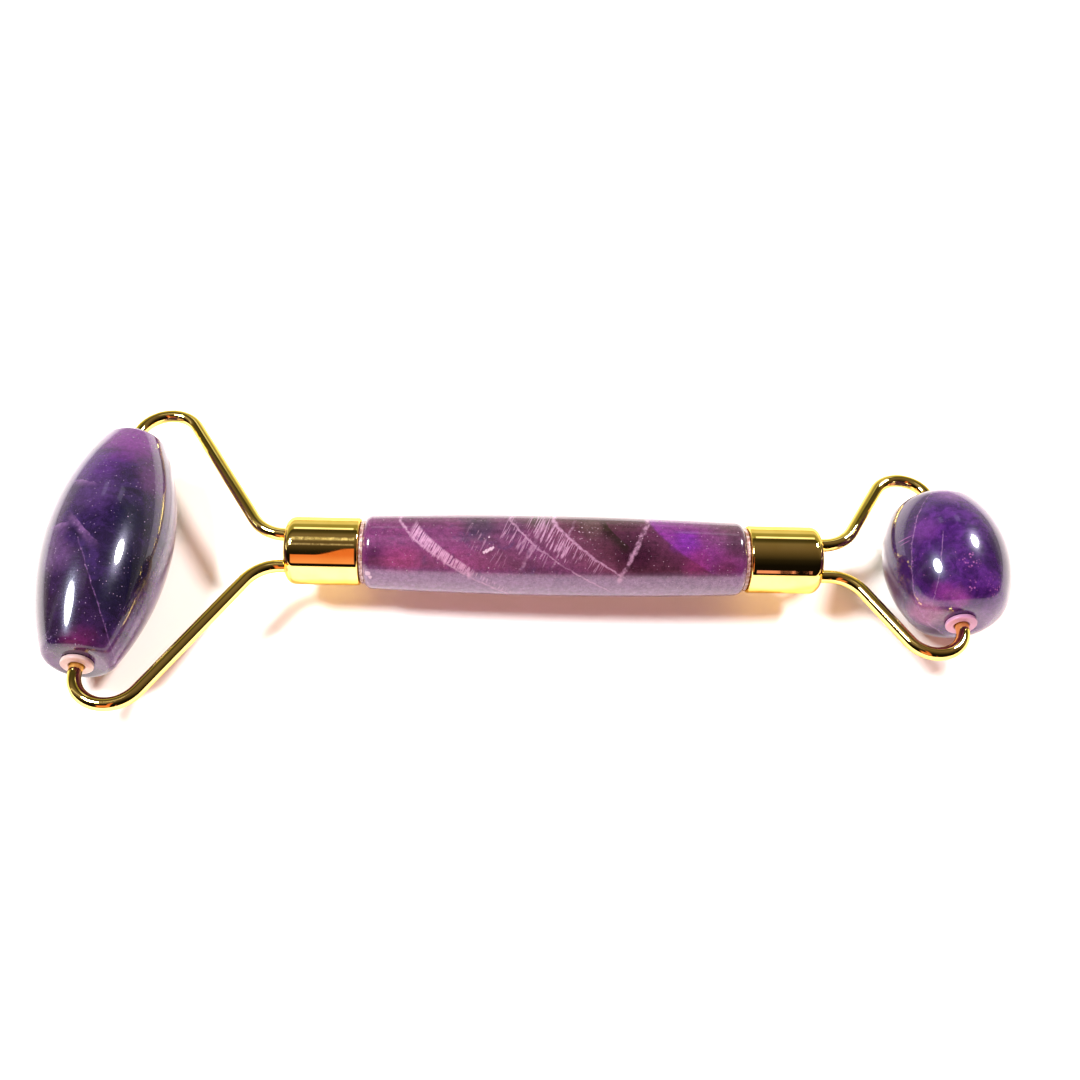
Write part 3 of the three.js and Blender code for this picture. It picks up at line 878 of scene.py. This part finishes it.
def make_handle():
    stone = turned("handle_stone_polished", handle_outline(), "X", GRIP, **STONE_RIPPLE)
    install(stone, "handle_frame", "handle_stone", "handle_amethyst")
    for size, way in (("large", -1), ("small", 1)):
        cap = turned(f"{size}_cap_turned", cap_outline(way), "X", GRIP)
        floor = CAP["rim"] + CAP["cup_depth"]
        drill(cap, (-WIRE["offset"], WIRE["offset"]), WIRE["radius"] + WIRE["hole_gap"],
              floor - DRILL_PAST[0], CAP["face"] + DRILL_PAST[1], way)
        install(cap, "handle_frame", f"{size}_ferrule", "ferrule_gold")
        peg = turned(f"{size}_peg_ridged", peg_outline(way), "X", GRIP, sides=HIDDEN_ROUND)
        install(peg, "handle_frame", f"{size}_peg", "peg_steel")
        bead = turned(f"{size}_glue_bead", glue_outline(way), "X", GRIP, **GLUE_RIPPLE)
        install(bead, "handle_frame", f"{size}_glue", "cured_glue")
        for place, side in (("front", -1), ("back", 1)):
            arm = swept(f"{size}_arm_{place}_wire", arm_line(size, way, side), WIRE["radius"],
                        GRIP.z)
            install(arm, "handle_frame", f"{size}_arm_{place}", "wire_gold")


make_handle()
for roller in ROLLERS:
    make_roller(roller)


# ---- Table, light and camera ---------------------------------------------------------------------

# The table's rings, in metres.
TABLE_RINGS = [0.1, 0.2, 0.4, 0.8, 1.6, 3.2]


def make_table():
    """A broad round table top, fine near the object and coarse far away."""
    mesh = bpy.data.meshes.new("table")
    work = bmesh.new()
    previous = [work.verts.new((0, 0, 0))]
    for radius in TABLE_RINGS:
        ring = [work.verts.new((radius * math.cos(2 * math.pi * i / SMALL_ROUND),
                                radius * math.sin(2 * math.pi * i / SMALL_ROUND), 0))
                for i in range(SMALL_ROUND)]
        for i in range(SMALL_ROUND):
            j = (i + 1) % SMALL_ROUND
            if len(previous) == 1:
                work.faces.new((previous[0], ring[i], ring[j]))
            else:
                work.faces.new((previous[i], ring[i], ring[j], previous[j]))
        previous = ring
    work.to_mesh(mesh)
    work.free()
    table = bpy.data.objects.new("table", mesh)
    bpy.context.scene.collection.objects.link(table)
    table.data.materials.append(table_top())


# Place and width in millimetres, power in watts.
LAMPS = {
    "near": {"at": (-280, -30, 423), "across": 140, "power": 4.0, "tint": (1.0, 1.0, 1.0)},
    "far": {"at": (495, 280, 640), "across": 170, "power": 9.4, "tint": (1.06, 0.97, 0.93)},
    "glow": {"at": (60, -450, 350), "across": 260, "power": 1.5, "tint": (1.0, 0.42, 0.38),
             "shows": False},
}


def make_lamp(name, at, across, power, tint, shows=True):
    """A round lamp aimed at the origin. One that doesn't show is left out of reflections."""
    data = bpy.data.lights.new(name, "AREA")
    data.shape = "DISK"
    data.size = across * MM
    data.energy = power
    data.color = tint
    lamp = bpy.data.objects.new(name, data)
    lamp.location = Vector(at) * MM
    lamp.rotation_euler = (-Vector(at)).to_track_quat("-Z", "Y").to_euler()
    lamp.visible_glossy = shows
    bpy.context.scene.collection.objects.link(lamp)


# The room's brightness by the angle in degrees, up from the back of the table (0), overhead (90)
# and down to the front (180).
ROOM_BANDS = [
    (0, (0.85, 0.80, 0.56)), (19, (0.85, 0.80, 0.56)), (26, (0.36, 0.34, 0.14)),
    (47, (0.32, 0.31, 0.12)), (50, (0.05, 0.04, 0.02)), (60, (0.07, 0.06, 0.03)),
    (70, (0.20, 0.16, 0.12)), (85, (0.17, 0.13, 0.10)), (104, (0.10, 0.075, 0.05)),
    (127, (0.02, 0.016, 0.012)), (145, (0.006, 0.005, 0.004)), (180, (0.006, 0.004, 0.004)),
]
# Bright slots to each side, and copper-coloured spots low at the front right: x from and to, and
# the angles that they lie between.
SLOTS = [(-0.2, -0.115), (0.19, 0.29)]
SLOT_ANGLES = (40.5, 46.5)
SLOT_LIGHT = (1.5, 1.5, 1.5, 1.0)
COPPER_SPOTS = [(0.19, 0.23), (0.2394, 0.2418), (0.2535, 0.2545)]
COPPER_ANGLES = (164.0, 173.0)
COPPER = (0.95, 0.4, 0.5, 1.0)
# Rows of streaks overhead on the left: middle and half width in degrees, and colour.
STREAK_ROWS = [(84.0, 9.0, (1.3, 1.25, 1.2, 1.0)), (104.0, 5.0, (0.75, 0.66, 0.75, 1.0))]
# Something orange at the front, a little to the left: its colour at the top and lower down.
ORANGE_TOP, ORANGE_LOW = (0.85, 0.22, 0.09, 1.0), (1.0, 0.38, 0.22, 1.0)
BACKDROP = (0.92, 0.91, 0.90, 1.0)
HALF_TURN = 180.0


def make_world():
    """A dim warm room for the polished parts to mirror. Straight to the camera it shows as a plain
    pale backdrop."""
    world = bpy.data.worlds.new("room")
    bpy.context.scene.world = world
    world.use_nodes = True
    g = Graph(world.node_tree)
    way = g.node("ShaderNodeTexCoord", outlet="Generated")
    split = g.nodes.new("ShaderNodeSeparateXYZ")
    g.feed(split.inputs[0], way)
    x, y, z = split.outputs
    around = g.math("DEGREES", g.math("ARCTAN2", z, y))
    room = g.ramp(g.math("DIVIDE", around, HALF_TURN),
                  [(angle / HALF_TURN, (*tint, 1.0)) for angle, tint in ROOM_BANDS])

    slots = any_of(g, *[between(g, x, start, end, 0.01) for start, end in SLOTS])
    room = g.mix(every(g, slots, between(g, around, *SLOT_ANGLES, 1.5)), room, SLOT_LIGHT)

    streak_point = g.node("ShaderNodeCombineXYZ", X=x, Y=every(g, around, 0.0001))
    streaks = g.smooth(g.noise(streak_point, 0.0018, 2.0, 0.6), 0.4, 0.6, 0.1, 1.0)
    left = g.smooth(x, 0.0, -0.06)
    for middle, half, tint in STREAK_ROWS:
        row = g.smooth(g.math("ABSOLUTE", g.math("SUBTRACT", around, middle)), half, 0.0)
        room = g.mix(every(g, row, left, streaks), room, tint)

    # The orange thing reaches higher at its right side.
    top_edge = g.smooth(x, -0.155, -0.124, 139.0, 116.0)
    orange = every(g, g.smooth(around, top_edge, g.math("ADD", top_edge, 1.5)),
                   g.smooth(around, 171.0, 169.0), g.smooth(x, 0.02, -0.04),
                   g.smooth(x, -0.5, -0.4))
    room = g.mix(orange, room, g.mix(g.smooth(around, 135.0, 165.0), ORANGE_TOP, ORANGE_LOW))

    copper = any_of(g, *[between(g, x, start, end, 0.0008) for start, end in COPPER_SPOTS])
    copper = every(g, copper, between(g, around, *COPPER_ANGLES, 1.5))
    room = g.mix(copper, room, COPPER)

    to_camera = g.node("ShaderNodeLightPath", outlet="Is Camera Ray")
    room = g.mix(to_camera, room, BACKDROP)
    background = g.node("ShaderNodeBackground", Color=room, Strength=1.0)
    g.node("ShaderNodeOutputWorld", Surface=background)


# Place in millimetres, then angles in degrees, then the lens in millimetres.
CAMERA = {"at": (-4.77, -108.76, 157.91), "down": 52.99, "right": 3.10, "roll": 3.64,
          "lens": 39.64}


def make_camera():
    """The camera at CAMERA's place, turned down and to the right of +Y, then rolled."""
    data = bpy.data.cameras.new("camera")
    data.lens = CAMERA["lens"]
    data.sensor_width = 36.0
    data.clip_start, data.clip_end = 0.01, 20.0
    camera = bpy.data.objects.new("camera", data)
    down, turn, roll = (math.radians(CAMERA[k]) for k in ("down", "right", "roll"))
    forward = Vector((math.sin(turn) * math.cos(down), math.cos(turn) * math.cos(down),
                      -math.sin(down)))
    level = Vector((math.cos(turn), -math.sin(turn), 0))
    upright = level.cross(forward)
    right = level * math.cos(roll) + upright * math.sin(roll)
    up = upright * math.cos(roll) - level * math.sin(roll)
    turned_frame = Matrix((right, up, -forward)).transposed().to_4x4()
    turned_frame.translation = Vector(CAMERA["at"]) * MM
    camera.matrix_world = turned_frame
    bpy.context.scene.collection.objects.link(camera)
    bpy.context.scene.camera = camera


make_table()
for lamp_name, lamp in LAMPS.items():
    make_lamp(f"{lamp_name}_lamp", **lamp)
make_world()
make_camera()
bpy.context.scene.view_settings.view_transform = "Standard"
